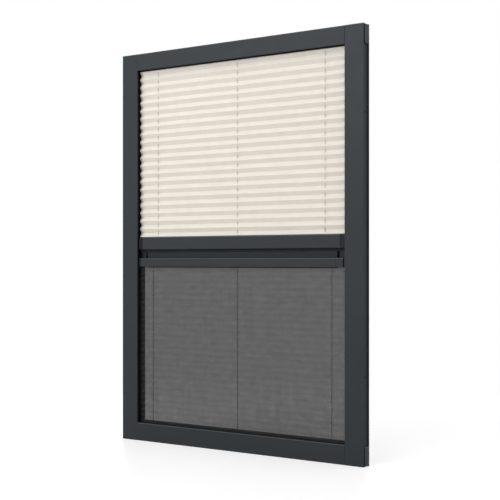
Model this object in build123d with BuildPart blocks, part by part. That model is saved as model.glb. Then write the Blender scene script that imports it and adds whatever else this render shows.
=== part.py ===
from build123d import *
import os
from math import cos, atan2

# Pleated blind and pleated insect screen in one aluminium cassette frame.
# Millimetres. X is the width, +Y runs from the room side into the frame, +Z is up.
# The origin is at the middle of the frame's underside.

# Frame
frame_width = 650.0
frame_height = 900.0
frame_depth = 22.5
stile_face = 45.0
top_rail_face = 38.7
bottom_rail_face = 41.5
flange = 1.6
web = 1.5
back_lip = 5.2
edge_round = 0.6
rail_round = 1.0
outer_channel = 3.2
guide_depth = 18.0
rail_chamber = 24.5

# Brush seal and its groove along each stile
brush_wall = 0.8
brush_slot_width = 5.0
brush_slot_depth = 1.1
brush_mouth = 2.6
pile_width = 2.0
pile_height = 4.0
brush_play = 0.1

# Corner joints
corner_cap_height = 40.0
corner_block_height = 38.0
cap_groove = 3.4
cap_round = 2.2
corner_play = 0.1
block_plug_length = 26.0
plug_chamfer = 0.6
stile_plug_length = 9.0
screw_radius = 2.0
screw_head_radius = 3.6
screw_head_height = 1.8
screw_length = 36.0
screw_spacing = 12.0
screw_play = 0.05
screw_tip_room = 1.0
head_pocket_play = 0.3

# Fixing holes through the stiles
fixing_hole_radius = 2.25
fixing_hole_inset = 180.0

# Cloth holding strips
strip_width = 9.0
strip_play = 0.15
hook_leg = 1.2
hook_toe = 1.2
hook_height = 6.0
anchor_groove_width = 5.0
anchor_groove_depth = 4.6
slit_width = 1.3
slit_depth = 5.5
head_strip_reveal = 1.4
foot_strip_reveal = 0.6
strip_end_gap = 0.5

# Pleated cloths, measured from the front of the frame to the middle of the pleats
blind_plane = 12.3
blind_pitch = 18.3
blind_pleat_depth = 6.0
blind_thickness = 0.45
screen_plane = 13.0
screen_pitch = 14.1
screen_pleat_depth = 2.4
screen_thickness = 0.35
cloth_side_gap = 0.5
cloth_end_gap = 0.3
end_fold = 0.8
tail_length = 4.0

# Cords
cord_radius = 0.6
blind_cord_inset = 99.0
screen_cord_inset = 83.0
cord_slot = 2.4
cord_play = 0.25
anchor_radius = 2.0
anchor_height = 3.4

# Sliding bars
screen_clear_height = 363.1
bar_wall = 1.4
bar_round = 0.9
bar_mouth = 6.6
strip_cavity_width = 9.6
strip_cavity_height = 7.0
bar_strip_height = 6.6
bar_strip_play = 0.3
seal_gap = 0.3

blind_bar_height = 28.4
blind_bar_setback = 4.5
blind_bar_depth = 14.2
blind_bar_end_gap = 1.2
blind_cap_length = 11.7
blind_cap_setback = 0.6

screen_bar_height = 19.8
screen_bar_setback = 4.8
screen_bar_depth = 14.4
screen_bar_end_gap = 6.4
screen_cap_length = 17.2
screen_post_length = 11.4
screen_post_back = 3.6
screen_post_setback = 0.8
grip_depth = 6.4
grip_height = 13.5
grip_round = 1.6
grip_rib_height = 0.5
screen_strip_reveal = 1.5

cap_plug_length = 8.0
cap_plug_play = 0.15
shoe_length = 12.0
shoe_play = 0.3
shoe_inset = 1.0

# Seal between the two bars
seal_height = 6.4
seal_width = 3.0
seal_root_width = 5.0
seal_root_height = 1.4
seal_play = 0.1
seal_setback = 11.8

# Cord guides in the sliding bars
guide_radius = 2.4
guide_flange_radius = 3.4
guide_flange_height = 1.0
guide_tail = 2.0
guide_play = 0.1

# Stacks of the gathered cloths
blind_stack = 25.0
screen_stack = 22.0

# Places that follow from the sizes above
front = -frame_depth / 2
half_width = frame_width / 2
opening_half = half_width - stile_face
middle_height = frame_height / 2
rail_web_top = flange + rail_chamber + web
guide_floor = stile_face - guide_depth
screen_bar_bottom = bottom_rail_face + screen_clear_height
screen_bar_top = screen_bar_bottom + screen_bar_height
grip_top = screen_bar_top + grip_height
blind_bar_bottom = grip_top + seal_gap + seal_height
blind_bar_top = blind_bar_bottom + blind_bar_height
head_strip_end = frame_height - top_rail_face - head_strip_reveal
foot_strip_end = bottom_rail_face + foot_strip_reveal
blind_cords = (-half_width + blind_cord_inset, 0.0, half_width - blind_cord_inset)
screen_cords = (-half_width + screen_cord_inset, 0.0, half_width - screen_cord_inset)
shoe_back = frame_depth - flange - shoe_play
shoe_front = flange + brush_slot_depth + brush_wall + pile_height + shoe_play
blind_travel = head_strip_end - blind_stack - blind_bar_top
screen_travel = screen_bar_bottom - screen_strip_reveal - screen_stack - foot_strip_end
print("blind bar travel up", round(blind_travel, 2))
print("screen bar travel down", round(screen_travel, 2))

os.makedirs("parts", exist_ok=True)


def save(builder, name):
    builder.part.label = name
    export_step(builder.part, "parts/" + name + ".step")


def cell(v0, v1, z0, z1, mode=Mode.ADD):
    """A rectangle in a cross section, from its depths behind the front and its heights."""
    with Locations((front + (v0 + v1) / 2, (z0 + z1) / 2)):
        Rectangle(v1 - v0, z1 - z0, mode=mode)


def mirrored(builder, plane):
    with BuildPart() as copy:
        mirror(builder.part, about=plane)
    return copy


# Stile: an extrusion with an outer channel, a closed chamber and a guide channel
groove_front = flange + brush_slot_depth
groove_back = groove_front + brush_wall
slot_in = stile_face - brush_wall
slot_out = slot_in - brush_slot_width
mouth_side = (brush_slot_width - brush_mouth) / 2
inner_back = frame_depth - flange
stile_outline = [
    (0, 0),
    (stile_face, 0),
    (stile_face, groove_back),
    (slot_in - mouth_side, groove_back),
    (slot_in - mouth_side, groove_front),
    (slot_in, groove_front),
    (slot_in, flange),
    (slot_out, flange),
    (slot_out, groove_front),
    (slot_out + mouth_side, groove_front),
    (slot_out + mouth_side, groove_back),
    (slot_out - brush_wall, groove_back),
    (slot_out - brush_wall, flange),
    (guide_floor, flange),
    (guide_floor, inner_back),
    (stile_face + back_lip, inner_back),
    (stile_face + back_lip, frame_depth),
    (0, frame_depth),
    (0, inner_back),
    (outer_channel, inner_back),
    (outer_channel, flange),
    (0, flange),
]

with BuildPart() as left_stile:
    with BuildSketch(Plane.XY) as stile_section:
        with BuildLine():
            Polyline(*[(u - half_width, front + v) for u, v in stile_outline], close=True)
        make_face()
        fillet(stile_section.vertices().group_by(Axis.Y)[0], edge_round)
        chamber_width = guide_floor - web - outer_channel - web
        with Locations((outer_channel + web + chamber_width / 2 - half_width, 0)):
            Rectangle(chamber_width, frame_depth - 2 * flange, mode=Mode.SUBTRACT)
    extrude(amount=frame_height)
    # Screws of the corner joints and of the fixings cross both webs
    corner_screw_heights = [
        end + sign * (corner_cap_height / 2 + k * screw_spacing / 2)
        for end, sign in ((0, 1), (frame_height, -1))
        for k in (-1, 1)
    ]
    with BuildSketch(Plane.YZ.offset(outer_channel - half_width)):
        with Locations(*[(0, z) for z in corner_screw_heights]):
            Circle(screw_radius + screw_play)
        with Locations((0, fixing_hole_inset), (0, frame_height - fixing_hole_inset)):
            Circle(fixing_hole_radius)
    extrude(amount=guide_floor - outer_channel, mode=Mode.SUBTRACT)
save(left_stile, "left_stile")
save(mirrored(left_stile, Plane.YZ), "right_stile")


# Rail: front and back flange, closed chamber, and hooks that hold a cloth strip
def rail(face, strip_plane):
    """A rail in the bottom rail's place, with its face's height and its hooks' plane."""
    outside = strip_width / 2 + strip_play + hook_leg
    toe_end = outside - hook_leg - hook_toe
    hook_end = rail_web_top + hook_height
    half_hook = [
        (outside, rail_web_top),
        (outside, hook_end),
        (toe_end, hook_end),
        (toe_end, hook_end - hook_toe),
        (outside - hook_leg, hook_end - hook_toe),
        (outside - hook_leg, rail_web_top),
    ]
    outline = [(0, 0), (0, face), (flange, face), (flange, rail_web_top)]
    outline += [(strip_plane - s, h) for s, h in half_hook]
    outline += [(strip_plane + s, h) for s, h in reversed(half_hook)]
    outline += [
        (inner_back, rail_web_top),
        (inner_back, face + back_lip),
        (frame_depth, face + back_lip),
        (frame_depth, 0),
    ]
    with BuildPart() as made:
        with BuildSketch(Plane.YZ) as section:
            with BuildLine():
                Polyline(*[(front + v, h) for v, h in outline], close=True)
            make_face()
            fillet(section.vertices().group_by(Axis.X)[0], rail_round)
            cell(flange, inner_back, flange, flange + rail_chamber, Mode.SUBTRACT)
        extrude(amount=opening_half, both=True)
        # The back flange stops at the stiles' back flanges
        for side in (-1, 1):
            with BuildSketch(Plane.YZ.offset(side * opening_half)):
                cell(inner_back, frame_depth, 0, face + back_lip)
            extrude(amount=-side * (back_lip + corner_play), mode=Mode.SUBTRACT)
    return made


bottom_rail = rail(bottom_rail_face, screen_plane)
top_rail = mirrored(rail(top_rail_face, blind_plane), Plane.XY.offset(middle_height))
save(bottom_rail, "bottom_rail")
save(top_rail, "top_rail")


# Corner block: fills the guide channel's end and plugs into the rail's chamber
with BuildPart() as corner_block:
    with BuildSketch(Plane.YZ.offset(guide_floor + corner_play - half_width)):
        cell(groove_back + corner_play, inner_back - corner_play, 0, corner_block_height)
    extrude(amount=guide_depth - corner_play)
    with BuildSketch(Plane.YZ.offset(-opening_half)):
        cell(
            flange + corner_play,
            inner_back - corner_play,
            flange + corner_play,
            flange + rail_chamber - corner_play,
        )
    extrude(amount=block_plug_length)
    chamfer(corner_block.faces().sort_by(Axis.X)[-1].edges(), plug_chamfer)
    screw_end = outer_channel + screw_length + screw_tip_room
    with BuildSketch(Plane.YZ.offset(guide_floor - half_width)):
        with Locations(*[(0, z) for z in corner_screw_heights[:2]]):
            Circle(screw_radius + screw_play)
    extrude(amount=screw_end - guide_floor, mode=Mode.SUBTRACT)

# Corner cap: lies flush in the outer channel over the screw heads, a groove behind the front
with BuildPart() as corner_cap:
    with BuildSketch(Plane.YZ.offset(-half_width)):
        cell(flange + cap_groove, inner_back, 0, corner_cap_height)
    extrude(amount=outer_channel)
    outer_face = corner_cap.faces().sort_by(Axis.X)[0]
    fillet(outer_face.edges().sort_by(Axis.Z)[0], cap_round)
    fillet(corner_cap.faces().sort_by(Axis.X)[0].edges().sort_by(Axis.Y)[0], edge_round)
    with BuildSketch(Plane.YZ.offset(outer_channel - half_width)):
        with Locations(*[(0, z) for z in corner_screw_heights[:2]]):
            Circle(screw_head_radius + head_pocket_play)
    extrude(amount=-screw_head_height - head_pocket_play, mode=Mode.SUBTRACT)

# Stile plug: closes the end of the stile's chamber, with a shallow chamfer at its mouth
with BuildPart() as stile_plug:
    with BuildSketch(Plane.XY):
        with Locations((outer_channel + web + chamber_width / 2 - half_width, 0)):
            Rectangle(chamber_width - 2 * corner_play, inner_back - flange - 2 * corner_play)
    extrude(amount=stile_plug_length)
    chamfer(stile_plug.faces().sort_by(Axis.Z)[-1].edges(), plug_chamfer)
    plug_wall = 2 * web
    with BuildSketch(Plane.XY.offset(stile_plug_length)):
        with Locations((outer_channel + web + chamber_width / 2 - half_width, 0)):
            Rectangle(chamber_width - 2 * plug_wall, inner_back - flange - 2 * plug_wall)
    extrude(amount=web - stile_plug_length, mode=Mode.SUBTRACT)

upside = Plane.XY.offset(middle_height)
for piece, name in (
    (corner_block, "corner_block"),
    (corner_cap, "corner_cap"),
    (stile_plug, "stile_plug"),
):
    save(piece, name + "_bottom_left")
    save(mirrored(piece, Plane.YZ), name + "_bottom_right")
    save(mirrored(piece, upside), name + "_top_left")
    save(mirrored(mirrored(piece, upside), Plane.YZ), name + "_top_right")

# Corner screws, two at each corner, with their heads in the outer channel
with BuildPart() as corner_screws:
    for side in (-1, 1):
        seat = side * (half_width - outer_channel)
        with BuildSketch(Plane.YZ.offset(seat)):
            with Locations(*[(0, z) for z in corner_screw_heights]):
                Circle(screw_head_radius)
        extrude(amount=side * screw_head_height)
        with BuildSketch(Plane.YZ.offset(seat)):
            with Locations(*[(0, z) for z in corner_screw_heights]):
                Circle(screw_radius)
        extrude(amount=-side * screw_length)
save(corner_screws, "corner_screws")

# Brush seal: a flat backing in the stile's groove and a dense pile through its mouth
with BuildPart() as left_brush:
    brush_centre = slot_out + brush_slot_width / 2 - half_width
    pile_end = front + groove_back + pile_height
    with BuildSketch(Plane.XY.offset(bottom_rail_face)):
        backing = brush_slot_depth - brush_play
        with Locations((brush_centre, front + flange + backing / 2)):
            Rectangle(brush_slot_width - 2 * brush_play, backing)
        with Locations((brush_centre, (front + flange + pile_end) / 2)):
            Rectangle(pile_width, pile_end - front - flange)
    extrude(amount=frame_height - top_rail_face - bottom_rail_face)
save(left_brush, "left_brush_seal")
save(mirrored(left_brush, Plane.YZ), "right_brush_seal")


# Cloth strip: hangs in the rail's hooks, holds a cloth's end in its slit and the cord anchors
def cloth_strip(strip_plane, top, cords):
    """A strip in the bottom rail's place, up to a top height."""
    hook_end = rail_web_top + hook_height
    half = strip_width / 2
    with BuildPart() as made:
        with BuildSketch(Plane.YZ):
            cell(strip_plane - half, strip_plane + half, rail_web_top, top)
            for side in (-1, 1):
                edge = strip_plane + side * half
                inner = edge - side * hook_toe
                cell(
                    min(edge, inner),
                    max(edge, inner),
                    hook_end - hook_toe - strip_play,
                    hook_end + strip_play,
                    Mode.SUBTRACT,
                )
            groove = anchor_groove_width / 2
            cell(
                strip_plane - groove,
                strip_plane + groove,
                rail_web_top,
                rail_web_top + anchor_groove_depth,
                Mode.SUBTRACT,
            )
            slit = slit_width / 2
            cell(strip_plane - slit, strip_plane + slit, top - slit_depth, top, Mode.SUBTRACT)
        extrude(amount=opening_half - strip_end_gap, both=True)
        with BuildSketch(Plane.XY.offset(rail_web_top)):
            with Locations(*[(x, front + strip_plane) for x in cords]):
                Circle(cord_slot / 2)
        extrude(amount=top - rail_web_top, mode=Mode.SUBTRACT)
    return made


def cord_anchors(strip_plane, cords):
    with BuildPart() as made:
        with BuildSketch(Plane.XY.offset(rail_web_top + anchor_groove_depth)):
            with Locations(*[(x, front + strip_plane) for x in cords]):
                Circle(anchor_radius)
                Circle(cord_radius + cord_play / 2, mode=Mode.SUBTRACT)
        extrude(amount=-anchor_height)
    return made


save(cloth_strip(screen_plane, foot_strip_end, screen_cords), "screen_foot_strip")
save(cord_anchors(screen_plane, screen_cords), "screen_cord_anchors")
save(
    mirrored(cloth_strip(blind_plane, frame_height - head_strip_end, blind_cords), upside),
    "blind_head_strip",
)
save(mirrored(cord_anchors(blind_plane, blind_cords), upside), "blind_cord_anchors")


# Pleated cloth: one sheet folded into a zigzag, slotted where the cords pass
def pleated_cloth(plane_depth, low, high, pitch, pleat_depth, thickness, cords):
    """A cloth between the faces of its two strips, with a flat tail into each slit."""
    drop = high - low
    facets = 2 * round(drop / pitch)
    step = (drop - 2 * end_fold) / facets
    half_sheet = thickness / 2 / cos(atan2(pleat_depth, step))
    centre = [(plane_depth, low - tail_length), (plane_depth, low)]
    for k in range(facets + 1):
        side = -1 if k % 2 == 0 else 1
        centre.append((plane_depth + side * pleat_depth / 2, low + end_fold + k * step))
    centre += [(plane_depth, high), (plane_depth, high + tail_length)]
    outline = [(front + v - half_sheet, z) for v, z in centre]
    outline += [(front + v + half_sheet, z) for v, z in reversed(centre)]
    half_cloth = opening_half - cloth_side_gap
    with BuildPart() as made:
        with BuildSketch(Plane.YZ):
            with BuildLine():
                Polyline(*outline, close=True)
            make_face()
        extrude(amount=half_cloth, both=True)
        with BuildSketch(Plane.XY.offset(low - 2 * tail_length)):
            with Locations(*[(x, front + plane_depth) for x in cords]):
                Rectangle(cord_slot, cord_slot)
        extrude(amount=drop + 4 * tail_length, mode=Mode.SUBTRACT)
    return made


def straight_cord(plane_depth, x, low, high):
    with BuildPart() as made:
        with BuildSketch(Plane.XY.offset(low)):
            with Locations((x, front + plane_depth)):
                Circle(cord_radius)
        extrude(amount=high - low)
    return made


blind_fabric = pleated_cloth(
    blind_plane,
    blind_bar_top + cloth_end_gap,
    head_strip_end - cloth_end_gap,
    blind_pitch,
    blind_pleat_depth,
    blind_thickness,
    blind_cords,
)
save(blind_fabric, "blind_fabric")

screen_mesh = pleated_cloth(
    screen_plane,
    foot_strip_end + cloth_end_gap,
    screen_bar_bottom - screen_strip_reveal - cloth_end_gap,
    screen_pitch,
    screen_pleat_depth,
    screen_thickness,
    screen_cords,
)
save(screen_mesh, "screen_mesh")

# Cords, from the anchors in the fixed strips to the guides in the sliding bars
blind_guide_level = blind_bar_top - bar_wall - strip_cavity_height - bar_wall
screen_guide_level = screen_bar_bottom + bar_wall + strip_cavity_height + bar_wall
anchor_seat = rail_web_top + anchor_groove_depth
places = ("left", "middle", "right")
for place, x in zip(places, blind_cords):
    low = blind_guide_level - guide_tail
    high = frame_height - anchor_seat + anchor_height
    save(straight_cord(blind_plane, x, low, high), "blind_cord_" + place)
for place, x in zip(places, screen_cords):
    low = anchor_seat - anchor_height
    high = screen_guide_level + guide_tail
    save(straight_cord(screen_plane, x, low, high), "screen_cord_" + place)

# Blind bar: hollow section with a cloth channel on top and a seal groove underneath
blind_bar_back = blind_bar_setback + blind_bar_depth
seal_plane = seal_setback + seal_width / 2
seal_slot_top = blind_bar_bottom + bar_wall + seal_root_height + 2 * seal_play
blind_bar_half = opening_half - blind_bar_end_gap - blind_cap_length


def cloth_channel(plane_depth, wall_level, upward):
    """The cavity and mouth that hold a cloth strip in a bar, opening up or down."""
    inner = wall_level - upward * bar_wall
    deep = inner - upward * strip_cavity_height
    half = strip_cavity_width / 2
    mouth = bar_mouth / 2
    cell(plane_depth - half, plane_depth + half, min(inner, deep), max(inner, deep), Mode.SUBTRACT)
    cell(
        plane_depth - mouth,
        plane_depth + mouth,
        min(wall_level, inner),
        max(wall_level, inner),
        Mode.SUBTRACT,
    )


with BuildPart() as blind_bar:
    with BuildSketch(Plane.YZ) as blind_bar_section:
        cell(blind_bar_setback, blind_bar_back, blind_bar_bottom, blind_bar_top)
        fillet(blind_bar_section.vertices().group_by(Axis.X)[0], bar_round)
        cloth_channel(blind_plane, blind_bar_top, 1)
        cell(
            blind_bar_setback + bar_wall,
            blind_bar_back - bar_wall,
            seal_slot_top + bar_wall,
            blind_guide_level,
            Mode.SUBTRACT,
        )
        root = seal_root_width / 2 + seal_play
        cell(
            seal_plane - root,
            seal_plane + root,
            blind_bar_bottom + bar_wall,
            seal_slot_top,
            Mode.SUBTRACT,
        )
        neck = seal_width / 2 + seal_play
        cell(
            seal_plane - neck,
            seal_plane + neck,
            blind_bar_bottom,
            blind_bar_bottom + bar_wall,
            Mode.SUBTRACT,
        )
    extrude(amount=blind_bar_half, both=True)
    with BuildSketch(Plane.XY.offset(blind_guide_level)):
        with Locations(*[(x, front + blind_plane) for x in blind_cords]):
            Circle(guide_radius + guide_play)
    extrude(amount=bar_wall, mode=Mode.SUBTRACT)
save(blind_bar, "blind_bar")

# Screen bar: a lower body with the grip recess above it, and the cloth channel underneath
screen_bar_back = screen_bar_setback + screen_bar_depth
grip_face = screen_bar_setback + grip_depth
screen_bar_half = opening_half - screen_bar_end_gap - screen_cap_length


def round_front(section):
    """Rounds the front edges of the bar's section, the upper one more for the fingertips."""
    fillet(section.vertices().group_by(Axis.X)[0].sort_by(Axis.Y)[0], bar_round)
    fillet(section.vertices().group_by(Axis.X)[0].sort_by(Axis.Y)[-1], grip_round)


with BuildPart() as screen_bar:
    with BuildSketch(Plane.YZ) as screen_bar_section:
        with BuildLine():
            Polyline(
                (front + screen_bar_setback, screen_bar_bottom),
                (front + screen_bar_setback, screen_bar_top),
                (front + grip_face, screen_bar_top),
                (front + grip_face, grip_top),
                (front + screen_bar_back - bar_wall, grip_top),
                (front + screen_bar_back - bar_wall, grip_top + grip_rib_height),
                (front + screen_bar_back, grip_top + grip_rib_height),
                (front + screen_bar_back, screen_bar_bottom),
                close=True,
            )
        make_face()
        round_front(screen_bar_section)
        cloth_channel(screen_plane, screen_bar_bottom, -1)
        cell(
            screen_bar_setback + bar_wall,
            screen_bar_back - bar_wall,
            screen_guide_level,
            screen_bar_top - bar_wall,
            Mode.SUBTRACT,
        )
        cell(
            grip_face + bar_wall,
            screen_bar_back - bar_wall,
            screen_bar_top,
            grip_top - bar_wall,
            Mode.SUBTRACT,
        )
    extrude(amount=screen_bar_half, both=True)
    with BuildSketch(Plane.XY.offset(screen_guide_level - bar_wall)):
        with Locations(*[(x, front + screen_plane) for x in screen_cords]):
            Circle(guide_radius + guide_play)
    extrude(amount=bar_wall, mode=Mode.SUBTRACT)
save(screen_bar, "screen_bar")


# Strip that clamps the cloth's tail inside a bar
def bar_strip(plane_depth, seat, upward, reveal, half_length, cords):
    """Seat is the cavity's wall by the mouth, and the strip's neck fills the mouth."""
    half = strip_cavity_width / 2 - bar_strip_play
    neck = bar_mouth / 2 - bar_strip_play
    outer = seat + upward * (bar_wall + reveal)
    deep = seat - upward * bar_strip_height
    slit = slit_width / 2
    slit_end = outer - upward * slit_depth
    with BuildPart() as made:
        with BuildSketch(Plane.YZ):
            cell(plane_depth - half, plane_depth + half, min(seat, deep), max(seat, deep))
            cell(plane_depth - neck, plane_depth + neck, min(seat, outer), max(seat, outer))
            cell(
                plane_depth - slit,
                plane_depth + slit,
                min(outer, slit_end),
                max(outer, slit_end),
                Mode.SUBTRACT,
            )
        extrude(amount=half_length, both=True)
        with BuildSketch(Plane.XY.offset(min(outer, deep))):
            with Locations(*[(x, front + plane_depth) for x in cords]):
                Circle(cord_slot / 2)
        extrude(amount=abs(outer - deep), mode=Mode.SUBTRACT)
    return made


save(
    bar_strip(blind_plane, blind_bar_top - bar_wall, 1, 0, blind_bar_half, blind_cords),
    "blind_bar_strip",
)
save(
    bar_strip(
        screen_plane,
        screen_bar_bottom + bar_wall,
        -1,
        screen_strip_reveal,
        screen_bar_half,
        screen_cords,
    ),
    "screen_bar_strip",
)


# Cord guides: flanged bushes in the wall behind each cloth channel
def cord_guides(plane_depth, level, upward, cords):
    with BuildPart() as made:
        with BuildSketch(Plane.XY.offset(level)):
            with Locations(*[(x, front + plane_depth) for x in cords]):
                Circle(guide_radius)
                Circle(cord_radius + cord_play, mode=Mode.SUBTRACT)
        extrude(amount=upward * bar_wall)
        with BuildSketch(Plane.XY.offset(level)):
            with Locations(*[(x, front + plane_depth) for x in cords]):
                Circle(guide_flange_radius)
                Circle(cord_radius + cord_play, mode=Mode.SUBTRACT)
        extrude(amount=-upward * guide_flange_height)
    return made


save(cord_guides(blind_plane, blind_guide_level, 1, blind_cords), "blind_cord_guides")
save(cord_guides(screen_plane, screen_guide_level, -1, screen_cords), "screen_cord_guides")

# Bar end caps, each with a plug into the bar and a shoe that runs in the stile's guide channel
def tail_slit(plane_depth, level, upward):
    """The slit in a cap that the side of the cloth's tail stands in."""
    slit = slit_width / 2
    slit_end = level - upward * slit_depth
    with BuildSketch(Plane.YZ.offset(-half_width)) as slit_section:
        cell(
            plane_depth - slit,
            plane_depth + slit,
            min(level, slit_end),
            max(level, slit_end),
        )
    extrude(slit_section.sketch, amount=half_width, mode=Mode.SUBTRACT)


with BuildPart() as blind_cap:
    cap_end = -blind_bar_half - blind_cap_length
    with BuildSketch(Plane.YZ.offset(-blind_bar_half)) as blind_cap_section:
        cell(
            blind_bar_setback + blind_cap_setback,
            blind_bar_back,
            blind_bar_bottom,
            blind_bar_top,
        )
        fillet(blind_cap_section.vertices().group_by(Axis.X)[0], bar_round)
    extrude(amount=-blind_cap_length)
    with BuildSketch(Plane.YZ.offset(cap_end)):
        cell(shoe_front, shoe_back, blind_bar_bottom + shoe_inset, blind_bar_top - shoe_inset)
    extrude(amount=-blind_bar_end_gap - shoe_length)
    chamfer(blind_cap.faces().sort_by(Axis.X)[0].edges(), bar_wall)
    with BuildSketch(Plane.YZ.offset(-blind_bar_half)):
        cell(
            blind_bar_setback + bar_wall + cap_plug_play,
            blind_bar_back - bar_wall - cap_plug_play,
            seal_slot_top + bar_wall + cap_plug_play,
            blind_guide_level - cap_plug_play,
        )
    extrude(amount=cap_plug_length)
    chamfer(blind_cap.faces().sort_by(Axis.X)[-1].edges(), plug_chamfer)
    tail_slit(blind_plane, blind_bar_top, 1)
save(blind_cap, "blind_bar_cap_left")
save(mirrored(blind_cap, Plane.YZ), "blind_bar_cap_right")

with BuildPart() as screen_cap:
    cap_end = -screen_bar_half - screen_cap_length
    fin_front = screen_bar_back - screen_post_back
    with BuildSketch(Plane.YZ.offset(-screen_bar_half)) as screen_cap_section:
        cell(screen_bar_setback, screen_bar_back, screen_bar_bottom, screen_bar_top)
        round_front(screen_cap_section)
    extrude(amount=-screen_cap_length)
    with BuildSketch(Plane.YZ.offset(cap_end)):
        cell(grip_face + screen_post_setback, screen_bar_back, screen_bar_top, grip_top)
    extrude(amount=screen_post_length)
    with BuildSketch(Plane.YZ.offset(cap_end)):
        cell(fin_front, screen_bar_back, screen_bar_top, grip_top)
        rib_top = grip_top + grip_rib_height
        cell(screen_bar_back - bar_wall, screen_bar_back, grip_top, rib_top)
    extrude(amount=screen_cap_length)
    with BuildSketch(Plane.YZ.offset(cap_end)):
        # Beside the grip the shoe is only a fin, which closes the slit next to the post
        cell(shoe_front, shoe_back, screen_bar_bottom + shoe_inset, screen_bar_top - shoe_inset)
        cell(fin_front, shoe_back, screen_bar_top - shoe_inset, grip_top - shoe_inset)
    extrude(amount=-screen_bar_end_gap - shoe_length)
    chamfer(screen_cap.faces().sort_by(Axis.X)[0].edges(), bar_wall)
    with BuildSketch(Plane.YZ.offset(-screen_bar_half)):
        cell(
            screen_bar_setback + bar_wall + cap_plug_play,
            screen_bar_back - bar_wall - cap_plug_play,
            screen_guide_level + cap_plug_play,
            screen_bar_top - bar_wall - cap_plug_play,
        )
    extrude(amount=cap_plug_length)
    chamfer(screen_cap.faces().sort_by(Axis.X)[-1].edges(), plug_chamfer)
    tail_slit(screen_plane, screen_bar_bottom, -1)
save(screen_cap, "screen_bar_cap_left")
save(mirrored(screen_cap, Plane.YZ), "screen_bar_cap_right")

# Seal between the bars, held by its root in the blind bar's groove
with BuildPart() as meeting_seal:
    root_low = blind_bar_bottom + bar_wall
    half_root = seal_root_width / 2
    half_seal = seal_width / 2
    with BuildSketch(Plane.YZ):
        cell(seal_plane - half_root, seal_plane + half_root, root_low, root_low + seal_root_height)
        cell(seal_plane - half_seal, seal_plane + half_seal, blind_bar_bottom, root_low)
    extrude(amount=blind_bar_half, both=True)
    with BuildSketch(Plane.YZ):
        cell(
            seal_plane - half_seal,
            seal_plane + half_seal,
            grip_top + seal_gap,
            blind_bar_bottom,
        )
    extrude(amount=blind_bar_half + blind_cap_length, both=True)
save(meeting_seal, "meeting_seal")
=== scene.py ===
import math

import bpy
import numpy as np
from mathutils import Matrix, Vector


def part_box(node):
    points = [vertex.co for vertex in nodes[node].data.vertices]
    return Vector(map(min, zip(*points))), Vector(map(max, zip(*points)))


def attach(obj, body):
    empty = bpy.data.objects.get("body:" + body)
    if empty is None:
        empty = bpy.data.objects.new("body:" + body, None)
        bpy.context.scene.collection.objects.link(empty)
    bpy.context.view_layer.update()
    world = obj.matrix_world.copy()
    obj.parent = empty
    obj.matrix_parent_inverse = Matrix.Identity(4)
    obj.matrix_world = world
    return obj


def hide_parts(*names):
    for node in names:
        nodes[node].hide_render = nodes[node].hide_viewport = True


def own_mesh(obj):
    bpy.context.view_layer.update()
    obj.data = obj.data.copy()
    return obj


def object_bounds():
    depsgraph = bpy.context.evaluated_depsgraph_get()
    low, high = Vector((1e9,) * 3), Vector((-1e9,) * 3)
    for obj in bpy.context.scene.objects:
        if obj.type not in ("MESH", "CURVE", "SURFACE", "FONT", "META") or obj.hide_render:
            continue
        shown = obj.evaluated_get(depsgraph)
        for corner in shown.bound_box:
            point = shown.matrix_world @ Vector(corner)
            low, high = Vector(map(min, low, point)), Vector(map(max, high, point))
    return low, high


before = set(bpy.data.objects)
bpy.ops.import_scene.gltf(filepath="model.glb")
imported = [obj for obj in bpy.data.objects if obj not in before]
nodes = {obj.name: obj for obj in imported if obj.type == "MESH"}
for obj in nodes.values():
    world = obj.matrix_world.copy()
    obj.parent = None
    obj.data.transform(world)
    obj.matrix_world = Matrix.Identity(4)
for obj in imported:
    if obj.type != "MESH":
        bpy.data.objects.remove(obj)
cad_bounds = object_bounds()
for plain in list(bpy.data.materials):
    bpy.data.materials.remove(plain)

# Sizes of the cloths and cords, in metres. TAIL is the flat end of a cloth inside its strip,
# END_FOLD the short run before the first pleat, COLUMN the width of a column of faces,
# WANDER_SPAN the width over which a crease wanders, and slot half the width of a cord's hole.
TAIL = 0.004
END_FOLD = 0.0008
CORD_RADIUS = 0.0006
COLUMN = 0.009
WANDER_SPAN = 0.56
BLIND = dict(
    facets=42, depth=0.006, thickness=0.00045, slot=0.0008, wander=0.00022, bow=0.00022
)
SCREEN = dict(
    facets=52, depth=0.0024, thickness=None, slot=0.0007, wander=0.00015, bow=0.0001
)

# Where the rows of points lie on a facet, from crease to crease, and which is the row of the
# cord holes. CREASE_WEIGHTS are the shares of a row and its neighbours that round the creases,
# and BEND_OUT is a facet's bend outwards as a share of its sag.
FACET_ROWS = (0.0, 0.06, 0.22, 0.41, 0.59, 0.78, 0.94)
TAIL_ROWS = (0.0, 0.5)
HOLE_ROW = 0.41
CREASE_WEIGHTS = (0.16, 0.68, 0.16)
BEND_OUT = 0.4

# The camera stands to the right, level, a little under the middle of the object
CAMERA_AT = (1.4571, -2.0001, 0.4155)
CAMERA_TOWARDS = (1.4571 - 0.57948, -2.0001 + 0.81498, 0.4155)
CAMERA_LENS = 81.09
CAMERA_SHIFT = 0.0241


# Materials, all made of nodes
def new_material(name):
    made = bpy.data.materials.new(name)
    made.use_nodes = True
    made.node_tree.nodes.clear()
    return made


def put(material, kind, inputs=None, **settings):
    """A node with its settings, and its sockets linked or set."""
    tree = material.node_tree
    node = tree.nodes.new(kind)
    for key, value in settings.items():
        setattr(node, key, value)
    for key, value in (inputs or {}).items():
        if isinstance(value, bpy.types.NodeSocket):
            tree.links.new(value, node.inputs[key])
        else:
            node.inputs[key].default_value = value
    return node


def place(material, uv=False):
    return put(material, "ShaderNodeTexCoord").outputs["UV" if uv else "Object"]


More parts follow.
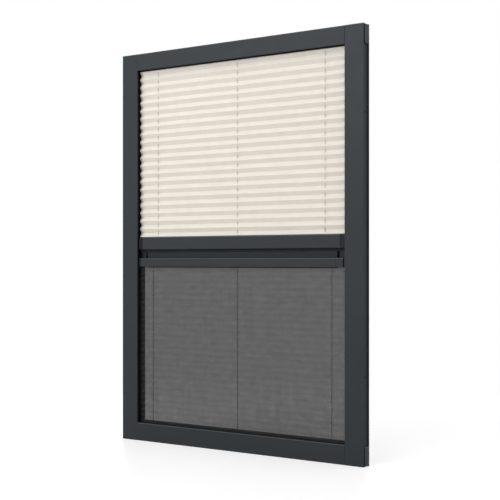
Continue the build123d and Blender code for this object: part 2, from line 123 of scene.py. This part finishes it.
def noise(material, where, scale, detail=2.0, roughness=0.5, stretch=None):
    if stretch:
        where = put(
            material, "ShaderNodeVectorMath", {0: where, 1: stretch}, operation="MULTIPLY"
        ).outputs[0]
    inputs = {"Vector": where, "Scale": scale, "Detail": detail, "Roughness": roughness}
    return put(material, "ShaderNodeTexNoise", inputs).outputs[0]


def remap(material, value, low, high, start=0.3, end=0.7):
    inputs = {"Value": value, "From Min": start, "From Max": end, "To Min": low, "To Max": high}
    return put(material, "ShaderNodeMapRange", inputs).outputs[0]


def blend_colours(material, factor, a, b):
    """A mix of two colours; 0, 6 and 7 are the mix node's factor and colour sockets."""
    a, b = ((*c, 1.0) if isinstance(c, tuple) else c for c in (a, b))
    return put(material, "ShaderNodeMix", {0: factor, 6: a, 7: b}, data_type="RGBA").outputs[2]


def scaled(colour, share):
    return tuple(share * c for c in colour)


def bump(material, height, distance, strength=1.0, normal=None):
    inputs = {"Height": height, "Distance": distance, "Strength": strength}
    if normal:
        inputs["Normal"] = normal
    return put(material, "ShaderNodeBump", inputs).outputs[0]


def finish_surface(material, **inputs):
    named = {key.replace("_", " "): value for key, value in inputs.items()}
    surface = put(material, "ShaderNodeBsdfPrincipled", named).outputs[0]
    put(material, "ShaderNodeOutputMaterial", {"Surface": surface})
    return material


def maths(material, operation, a, b=None):
    inputs = {0: a} if b is None else {0: a, 1: b}
    return put(material, "ShaderNodeMath", inputs, operation=operation).outputs[0]


def painted_edge_highlight(material, colour, light, radius):
    """Paints a highlight on the edges that face up, where light from above would catch them, and
    gives the rounded normal as well.
    """
    rounded = put(material, "ShaderNodeBevel", {"Radius": radius}, samples=12).outputs[0]
    face = put(material, "ShaderNodeNewGeometry").outputs["Normal"]
    turned = put(material, "ShaderNodeVectorMath", {0: rounded, 1: face}, operation="SUBTRACT")
    rise = put(material, "ShaderNodeSeparateXYZ", {0: turned.outputs[0]}).outputs[2]
    # painted highlight: the colour turns lighter where the rounded normal tilts upwards
    painted_highlight = remap(material, rise, 0.0, 1.0, 0.02, 0.17)
    return blend_colours(material, painted_highlight, colour, scaled(light, 3.0)), rounded


def painted_groove_shade(material, colour, dark, width):
    """Paints shade into the places that have a wall nearer than the width, where shade would fall.
    """
    nearby = put(material, "ShaderNodeAmbientOcclusion", {"Distance": width}, samples=8)
    # painted shade: near walls the colour sinks towards near black
    unshaded_share = remap(material, nearby.outputs["AO"], 0.0, 1.0, 0.35, 0.8)
    return blend_colours(material, unshaded_share, scaled(dark, 0.02), colour)


def powder_coat(name, dark, light, recess=None, crevice=0.0015):
    """Satin powder coat: a fine grain, a faint orange peel, slow changes of tone, a painted
    highlight on upper edges and painted shade in grooves.

    Behind the depth recess[0], in metres, the colour sinks to the share recess[1] of the dark
    one, as painted shade in the recess. Grooves narrower than crevice get painted shade.
    """
    recess_blend = 0.0006
    made = new_material(name)
    where = place(made)
    slow = remap(made, noise(made, where, 7.0, 3.0), 0.0, 1.0)
    colour = blend_colours(made, slow, dark, light)
    grain = noise(made, where, 2600.0, 1.0)
    speck = remap(made, grain, 0.0, 0.22, 0.45, 0.75)
    colour = blend_colours(made, speck, colour, scaled(light, 1.7))
    # painted highlight on the upper edges
    colour, rounded = painted_edge_highlight(made, colour, light, radius=0.0022)
    if recess:
        start, share = recess
        # painted shade: behind the recess depth the colour darkens, as the recess lies in shade
        depth = put(made, "ShaderNodeSeparateXYZ", {0: where}).outputs[1]
        inner = remap(made, depth, 0.0, 1.0, start, start + recess_blend)
        colour = blend_colours(made, inner, colour, scaled(dark, share))
    # painted shade in the grooves
    colour = painted_groove_shade(made, colour, dark, crevice)
    peel = noise(made, where, 700.0, 2.0)
    height = maths(made, "ADD", peel, maths(made, "MULTIPLY", grain, 0.35))
    rough = remap(made, noise(made, where, 40.0, 3.0), 0.42, 0.52)
    return finish_surface(
        made,
        Base_Color=colour,
        Roughness=rough,
        Specular_IOR_Level=0.18,
        Normal=bump(made, height, 0.00008, 0.6, rounded),
    )


def moulded(name, dark, light, roughness, specular=0.4):
    """Moulded plastic or rubber with a fine eroded grain and slightly uneven gloss."""
    made = new_material(name)
    where = place(made)
    slow = remap(made, noise(made, where, 30.0, 3.0), 0.0, 1.0)
    colour = blend_colours(made, slow, dark, light)
    grain = noise(made, where, 1300.0, 3.0, 0.6)
    rough = remap(made, noise(made, where, 90.0, 2.0), roughness - 0.06, roughness + 0.06)
    return finish_surface(
        made,
        Base_Color=colour,
        Roughness=rough,
        Specular_IOR_Level=specular,
        Normal=bump(made, grain, 0.00006, 0.7),
    )


def zinc():
    made = new_material("zinc_steel")
    where = place(made)
    cloud = remap(made, noise(made, where, 500.0, 3.0), 0.0, 1.0)
    colour = blend_colours(made, cloud, (0.42, 0.42, 0.40), (0.62, 0.61, 0.58))
    turned = noise(made, where, 900.0, 2.0, stretch=(0.15, 1.0, 1.0))
    return finish_surface(
        made,
        Base_Color=colour,
        Metallic=1.0,
        Roughness=remap(made, cloud, 0.28, 0.42, 0.0, 1.0),
        Normal=bump(made, turned, 0.00003, 0.6),
    )


def pile():
    """Dense black pile: fine hairs that run out from the back strip."""
    made = new_material("brush_pile")
    where = place(made)
    hairs = noise(made, where, 1.0, 1.0, stretch=(150.0, 3800.0, 3800.0))
    colour = blend_colours(
        made, remap(made, hairs, 0.0, 1.0), (0.003, 0.003, 0.003), (0.022, 0.022, 0.024)
    )
    return finish_surface(
        made,
        Base_Color=colour,
        Roughness=0.9,
        Specular_IOR_Level=0.1,
        Normal=bump(made, hairs, 0.0003, 1.0),
    )


def wave_height(material, axis_value, pitch):
    """A thread's rounded height across its width, from 0 between threads to 1 on top."""
    turn = maths(material, "MULTIPLY", axis_value, math.pi / pitch)
    return maths(material, "ABSOLUTE", maths(material, "SINE", turn))


def cream_cloth():
    """Non-woven pleated cloth: short fibres, a faint calendered grid and a soft sheen."""
    grid_pitch = 0.0006
    made = new_material("cream_cloth")
    where = place(made, uv=True)
    across = put(made, "ShaderNodeSeparateXYZ", {0: where}).outputs
    fibres = noise(made, where, 1.0, 4.0, 0.65, stretch=(260.0, 900.0, 1.0))
    cloud = noise(made, where, 55.0, 3.0)
    colour = blend_colours(
        made, remap(made, cloud, 0.0, 1.0), (0.772, 0.718, 0.637), (0.800, 0.748, 0.674)
    )
    colour = blend_colours(
        made, remap(made, fibres, 0.0, 0.35), colour, (0.724, 0.657, 0.566)
    )
    grid = maths(
        made,
        "MULTIPLY",
        wave_height(made, across[0], grid_pitch),
        wave_height(made, across[1], grid_pitch),
    )
    height = maths(made, "ADD", fibres, maths(made, "MULTIPLY", grid, 0.4))
    return finish_surface(
        made,
        Base_Color=colour,
        Roughness=0.85,
        Specular_IOR_Level=0.2,
        Subsurface_Weight=0.6,
        Subsurface_Radius=(1.0, 0.85, 0.7),
        Subsurface_Scale=0.002,
        Sheen_Weight=0.08,
        Sheen_Roughness=0.5,
        Normal=bump(made, height, 0.00008, 0.6),
    )


def grey_mesh():
    """Woven insect mesh: rounded dark threads with see-through holes between them.

    The holes close a little near the mesh's upper end, which paints in the shade that falls under
    the bar above.
    """
    pitch, openness = 0.0013, 0.412
    top_shade_start, top_shade_end, top_shade_share = 0.370, 0.381, 0.86
    made = new_material("grey_mesh")
    where = place(made, uv=True)
    across = put(made, "ShaderNodeSeparateXYZ", {0: where}).outputs
    warp = wave_height(made, across[0], pitch)
    weft = wave_height(made, across[1], pitch)
    gap = maths(made, "MULTIPLY", warp, weft)
    hole = maths(made, "MULTIPLY", gap, gap)
    cloud = noise(made, where, 1.0, 3.0, 0.6, stretch=(40.0, 62.0, 1.0))
    streak = noise(made, where, 1.0, 2.0, 0.5, stretch=(190.0, 5.0, 1.0))
    share = maths(
        made,
        "ADD",
        remap(made, cloud, 0.82, 1.13, 0.25, 0.75),
        remap(made, streak, -0.075, 0.075, 0.25, 0.75),
    )
    share = maths(made, "MULTIPLY", share, openness)
    # painted shade: fewer holes near the upper end darken the mesh under the bar
    top_shade = remap(made, across[1], 1.0, top_shade_share, top_shade_start, top_shade_end)
    share = maths(made, "MULTIPLY", share, top_shade)
    alpha = maths(made, "SUBTRACT", 1.0, maths(made, "MULTIPLY", hole, share))
    colour = blend_colours(made, hole, (0.024, 0.0245, 0.0245), (0.012, 0.012, 0.012))
    height = maths(made, "SUBTRACT", 1.0, gap)
    return finish_surface(
        made,
        Base_Color=colour,
        Roughness=0.7,
        Specular_IOR_Level=0.12,
        Alpha=alpha,
        Normal=bump(made, height, 0.0002, 0.4),
    )


def braided(name, dark, light):
    """Braided cord: two sets of strands that wind round it in opposite directions."""
    lay = 0.0028
    four_strands = 25.13
    made = new_material(name)
    across = put(made, "ShaderNodeSeparateXYZ", {0: place(made, uv=True)}).outputs
    climb = maths(made, "MULTIPLY", across[1], 1.0 / lay)
    waves = []
    for operation in ("ADD", "SUBTRACT"):
        turn = maths(made, operation, across[0], climb)
        waves.append(maths(made, "SINE", maths(made, "MULTIPLY", turn, four_strands)))
    strands = maths(made, "MAXIMUM", waves[0], waves[1])
    colour = blend_colours(made, remap(made, strands, 0.0, 1.0, -0.2, 1.0), dark, light)
    return finish_surface(
        made,
        Base_Color=colour,
        Roughness=0.8,
        Specular_IOR_Level=0.2,
        Normal=bump(made, strands, 0.0001, 0.8),
    )


ANTHRACITE = (0.0262, 0.0322, 0.0372), (0.0302, 0.0362, 0.0412)
RECESS_START = -0.0012

# All four coats paint highlights on upper edges and shade into grooves; GRIP and CAP also paint
# shade into the recess behind their front, and CORNER paints shade into wider grooves beside the
# caps.
COAT = powder_coat("anthracite_coat", *ANTHRACITE)
GRIP = powder_coat("anthracite_coat_recess_shaded", *ANTHRACITE, recess=(RECESS_START, 0.64), crevice=0.003)
CAP = powder_coat(
    "anthracite_plastic",
    (0.0255, 0.0315, 0.0355),
    (0.0295, 0.0355, 0.0395),
    recess=(RECESS_START, 0.5),
    crevice=0.003,
)
CORNER = powder_coat(
    "corner_plastic", (0.037, 0.045, 0.052), (0.042, 0.050, 0.057), crevice=0.009
)
BLACK = moulded(
    "black_plastic", (0.006, 0.0065, 0.008), (0.009, 0.0098, 0.0115), 0.5, specular=0.22
)
RUBBER = moulded(
    "seal_rubber", (0.009, 0.0105, 0.0115), (0.012, 0.0135, 0.0145), 0.62, specular=0.2
)
GUIDE = moulded("guide_plastic", (0.56, 0.56, 0.53), (0.64, 0.64, 0.61), 0.3)
ZINC = zinc()
PILE = pile()
CREAM = cream_cloth()
MESH = grey_mesh()
# The cream cord is darker than the cloth: partly the cord's own colour and partly painted shade,
# so the cords show as darker marks in the cloth.
CREAM_CORD = braided("cream_cord", (0.38, 0.34, 0.27), (0.58, 0.54, 0.45))
GREY_CORD = braided("grey_cord", (0.008, 0.008, 0.008), (0.022, 0.022, 0.023))

# The first part of a name that fits decides the finish; all other nodes have the coat
FINISHES = {
    "corner_cap": CORNER,
    "corner_block": BLACK,
    "stile_plug": BLACK,
    "corner_screws": ZINC,
    "brush_seal": PILE,
    "head_strip": BLACK,
    "foot_strip": BLACK,
    "bar_strip": BLACK,
    "cord_anchors": GUIDE,
    "cord_guides": GUIDE,
    "blind_bar_cap": BLACK,
    "screen_bar_cap": CAP,
    "meeting_seal": RUBBER,
    "screen_bar": GRIP,
    "fabric": CREAM,
    "screen_mesh": MESH,
    "blind_cord_": CREAM_CORD,
    "screen_cord_": GREY_CORD,
}
for name, obj in nodes.items():
    finish = next((FINISHES[part] for part in FINISHES if part in name), COAT)
    obj.data.materials.clear()
    obj.data.materials.append(finish)


# Cloths and cords, which take the place of the plain solids
def new_piece(name, points, faces, uvs, material, smooth=True):
    mesh = bpy.data.meshes.new(name)
    mesh.from_pydata([tuple(p) for p in points], [], faces)
    layer = mesh.uv_layers.new(name="cloth")
    corners = np.empty(len(mesh.loops), dtype=np.int32)
    mesh.loops.foreach_get("vertex_index", corners)
    layer.data.foreach_set("uv", np.asarray(uvs, np.float32)[corners].ravel())
    mesh.polygons.foreach_set("use_smooth", [smooth] * len(mesh.polygons))
    mesh.materials.append(material)
    made = bpy.data.objects.new(name, mesh)
    bpy.context.scene.collection.objects.link(made)
    return made


def waver(x, seed, size):
    """A slow, small wander along the width, the same in each run."""
    rng = np.random.default_rng(seed)
    out = np.zeros_like(x)
    for turns in (1.3, 2.9, 5.7):
        height = rng.uniform(-1, 1) / turns
        start = rng.uniform(0, 6.3)
        out += height * np.sin(2 * math.pi * turns * x / WANDER_SPAN + start)
    return size * out


def columns_across(low_x, high_x, cords, slot):
    """Positions along the width, with a narrow column for the holes of each cord."""
    edges = {low_x, high_x}
    for cord in cords:
        for side in (-3, -1, 1, 3):
            edges.add(cord + side * slot)
    marks = sorted(edges)
    columns = [marks[0]]
    for a, b in zip(marks, marks[1:]):
        count = max(1, round((b - a) / COLUMN))
        columns += [a + (b - a) * k / count for k in range(1, count + 1)]
    return np.array(columns)


def crease_lines(x, plane, bottom, top, facets, depth, wander):
    """Heights and depths along the width of the lower tail, each crease and the upper tail."""
    step = (top - bottom - 2 * END_FOLD) / facets
    straight = np.full_like(x, 1.0)
    lines = [(straight * z, straight * plane) for z in (bottom - TAIL, bottom)]
    for k in range(facets + 1):
        side = -1 if k % 2 == 0 else 1
        edge = min(1.0, k / 3, (facets - k) / 3)
        crease_z = bottom + END_FOLD + k * step + waver(x, 100 + k, wander) * edge
        crest = np.full_like(x, plane + side * depth / 2)
        lines.append((crease_z, crest - side * abs(waver(x, 300 + k, wander))))
    lines += [(straight * z, straight * plane) for z in (top, top + TAIL)]
    return lines


def rounded_creases(rows):
    """Each row drawn a little towards its two neighbours, which rounds the creases."""
    below, own, above = CREASE_WEIGHTS
    softened = list(rows)
    for r in range(1, len(rows) - 1):
        before, here, after = rows[r - 1], rows[r], rows[r + 1]
        softened[r] = tuple(
            below * before[i] + own * here[i] + above * after[i] for i in (0, 1)
        )
    return softened


def facet_rows(lines, bow):
    """Rows of points on the slightly sagging facets, and the numbers of the rows with holes."""
    rng = np.random.default_rng(7)
    rows = []
    holes = []
    for k in range(len(lines) - 1):
        (z0, y0), (z1, y1) = lines[k], lines[k + 1]
        inner = 1 < k < len(lines) - 3
        sag = rng.uniform(0.3, 1.0) * bow if inner else 0.0
        for share in FACET_ROWS if inner else TAIL_ROWS:
            bend = sag * math.sin(math.pi * share)
            z = z0 + (z1 - z0) * share - bend
            y = y0 + (y1 - y0) * share + bend * BEND_OUT
            rows.append((z, y))
            if share == HOLE_ROW:
                holes.append(len(rows) - 1)
    rows.append(lines[-1])
    return rounded_creases(rows), holes


def thicken(piece, name, thickness):
    body = piece.modifiers.new("thickness", "SOLIDIFY")
    body.thickness = thickness
    body.offset = 0.0
    view = bpy.context.evaluated_depsgraph_get()
    piece.data = bpy.data.meshes.new_from_object(piece.evaluated_get(view))
    piece.modifiers.clear()
    piece.data.name = name


def pleated(name, node, cords, material, facets, depth, thickness, slot, wander, bow):
    """A pleated sheet with rounded creases and a punched hole for each cord in each facet.

    Gives the piece and the sheet's flat length.
    """
    low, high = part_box(node)
    plane = (low.y + high.y) / 2
    bottom, top = low.z + TAIL, high.z - TAIL
    x = columns_across(low.x, high.x, cords, slot)
    lines = crease_lines(x, plane, bottom, top, facets, depth, wander)
    rows, holes = facet_rows(lines, bow)
    wide = len(x)
    points = np.zeros((len(rows) * wide, 3))
    uvs = np.zeros((len(rows) * wide, 2))
    length = np.zeros(wide)
    for r, (z, y) in enumerate(rows):
        points[r * wide:(r + 1) * wide] = np.column_stack([x, y, z])
        if r:
            length = length + np.hypot(z - rows[r - 1][0], y - rows[r - 1][1])
        uvs[r * wide:(r + 1) * wide] = np.column_stack([x, length])
    punched = set()
    for row in holes:
        for cord in cords:
            punched.add((row, int(np.argmin(abs(x - (cord - slot))))))
    faces = []
    for r in range(len(rows) - 1):
        for c in range(wide - 1):
            if (r, c) not in punched:
                a = r * wide + c
                faces.append((a, a + 1, a + wide + 1, a + wide))
    made = new_piece(name, points, faces, uvs, material)
    if thickness:
        thicken(made, name, thickness)
    return made, float(length.mean())


def braid(name, node, material):
    """A cord as a fine tube with slightly raised strands, closed at its ends."""
    sides, ring, ridge, strands, turn_per_ring = 10, 0.003, 0.03, 4, 2.2
    low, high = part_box(node)
    cx, cy = (low.x + high.x) / 2, (low.y + high.y) / 2
    count = round((high.z - low.z) / ring)
    points, uvs, faces = [], [], []
    for r in range(count + 1):
        z = low.z + (high.z - low.z) * r / count
        for s in range(sides + 1):
            turn = 2 * math.pi * s / sides
            wave = math.cos(strands * turn + turn_per_ring * r)
            radius = CORD_RADIUS * (1 - ridge + ridge * wave)
            points.append((cx + radius * math.cos(turn), cy + radius * math.sin(turn), z))
            uvs.append((s / sides, z))
    wide = sides + 1
    for r in range(count):
        for s in range(sides):
            a = r * wide + s
            faces.append((a, a + 1, a + wide + 1, a + wide))
    for r in (0, count):
        end = [r * wide + s for s in range(sides)]
        faces.append(end if r else end[::-1])
    return new_piece(name, points, faces, uvs, material)


def flatten(piece):
    """Gives the piece a mesh of its own.
    """
    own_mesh(piece)


def dress(
    prefix, cloth_node, material, cord_material, sizes
):
    """Puts a pleated sheet and three braided cords in the place of their plain solids."""
    cord_nodes = [f"{prefix}_cord_{side}" for side in ("left", "middle", "right")]
    centres = []
    for node in cord_nodes:
        low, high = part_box(node)
        centres.append((low.x + high.x) / 2)
    cloth, length = pleated(f"{cloth_node}.cloth", cloth_node, centres, material, **sizes)
    pieces = [(cloth, cloth_node, material)]
    for node in cord_nodes:
        pieces.append((braid(f"{node}.braid", node, cord_material), node, cord_material))
    for piece, node, finish in pieces:
        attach(piece, "frame")
        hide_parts(node)
        flatten(piece)
    low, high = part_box(cloth_node)


dress(
    "blind", "blind_fabric", CREAM, CREAM_CORD,
    BLIND,
)
dress(
    "screen", "screen_mesh", MESH, GREY_CORD,
    SCREEN,
)


# Pale floor that fades to plain white away from the object, white surroundings and soft lamps
WHITE = (1.0, 1.0, 1.0, 1.0)


def pale_floor():
    half, fade_from, fade_to = 3.0, 0.8, 1.6
    lift_strength, sheen_share = 0.475, 0.2
    made = new_material("floor")
    where = place(made)
    away = put(made, "ShaderNodeVectorMath", {0: where}, operation="LENGTH").outputs["Value"]
    fade = remap(made, away, 0.0, 1.0, fade_from, fade_to)
    tone = remap(made, noise(made, where, 3.0), 0.79, 0.81)
    colour = put(made, "ShaderNodeCombineColor", {0: tone, 1: tone, 2: tone}).outputs[0]
    matt = put(made, "ShaderNodeBsdfDiffuse", {"Color": colour, "Roughness": 0.3}).outputs[0]
    lift = put(made, "ShaderNodeEmission", {"Color": WHITE, "Strength": lift_strength}).outputs[0]
    seen = put(made, "ShaderNodeAddShader", {0: matt, 1: lift}).outputs[0]
    sheen = put(made, "ShaderNodeBsdfGlossy", {"Color": WHITE, "Roughness": 0.3}).outputs[0]
    seen = put(made, "ShaderNodeMixShader", {0: sheen_share, 1: seen, 2: sheen}).outputs[0]
    white = put(made, "ShaderNodeEmission", {"Color": WHITE, "Strength": 1.0}).outputs[0]
    faded = put(made, "ShaderNodeMixShader", {0: fade, 1: seen, 2: white}).outputs[0]
    rays = put(made, "ShaderNodeLightPath").outputs
    direct = maths(made, "MAXIMUM", rays["Is Camera Ray"], rays["Is Transmission Ray"])
    surface = put(made, "ShaderNodeMixShader", {0: direct, 1: matt, 2: faded}).outputs[0]
    put(made, "ShaderNodeOutputMaterial", {"Surface": surface})
    points = [(-half, -half, 0), (half, -half, 0), (half, half, 0), (-half, half, 0)]
    uvs = [p[:2] for p in points]
    floor = new_piece("floor", points, [(0, 1, 2, 3)], uvs, made, smooth=False)
    floor.location.z = cad_bounds[0][2]


def white_world(strength):
    world = bpy.data.worlds.new("studio")
    world.use_nodes = True
    world.node_tree.nodes.clear()
    light = put(world, "ShaderNodeBackground", {"Color": WHITE, "Strength": strength})
    white = put(world, "ShaderNodeBackground", {"Color": WHITE, "Strength": 1.0})
    rays = put(world, "ShaderNodeLightPath").outputs
    direct = maths(world, "MAXIMUM", rays["Is Camera Ray"], rays["Is Glossy Ray"])
    direct = maths(world, "MAXIMUM", direct, rays["Is Transmission Ray"])
    both = {0: direct, 1: light.outputs[0], 2: white.outputs[0]}
    mixed = put(world, "ShaderNodeMixShader", both).outputs[0]
    put(world, "ShaderNodeOutputWorld", {"Surface": mixed})
    bpy.context.scene.world = world


def aim(obj, target):
    direction = Vector(target) - Vector(obj.location)
    obj.rotation_euler = direction.to_track_quat("-Z", "Y").to_euler()


def soft_lamp(name, location, target, size, power):
    data = bpy.data.lights.new(name, "AREA")
    data.shape = "RECTANGLE"
    data.size, data.size_y = size
    data.energy = power
    lamp = bpy.data.objects.new(name, data)
    bpy.context.scene.collection.objects.link(lamp)
    lamp.location = location
    aim(lamp, target)


pale_floor()
white_world(0.55)
soft_lamp("key", (-0.5, -2.4, 2.3), (0.0, 0.0, 0.5), (3.0, 2.0), 29.0)
soft_lamp("left", (-0.7, -1.8, 1.35), (0.3, 0.0, 0.85), (0.8, 0.6), 8.0)
soft_lamp("top", (0.3, -0.6, 2.3), (0.1, 0.0, 0.5), (2.2, 1.2), 7.0)
soft_lamp("back", (-1.2, 2.5, 1.9), (0.0, 0.0, 0.45), (2.0, 1.6), 7.0)

camera_data = bpy.data.cameras.new("camera")
camera_data.lens = CAMERA_LENS
camera_data.sensor_width = 36.0
camera_data.shift_y = CAMERA_SHIFT
camera = bpy.data.objects.new("camera", camera_data)
bpy.context.scene.collection.objects.link(camera)
camera.location = CAMERA_AT
aim(camera, CAMERA_TOWARDS)
bpy.context.scene.camera = camera
bpy.context.scene.view_settings.view_transform = "Standard"
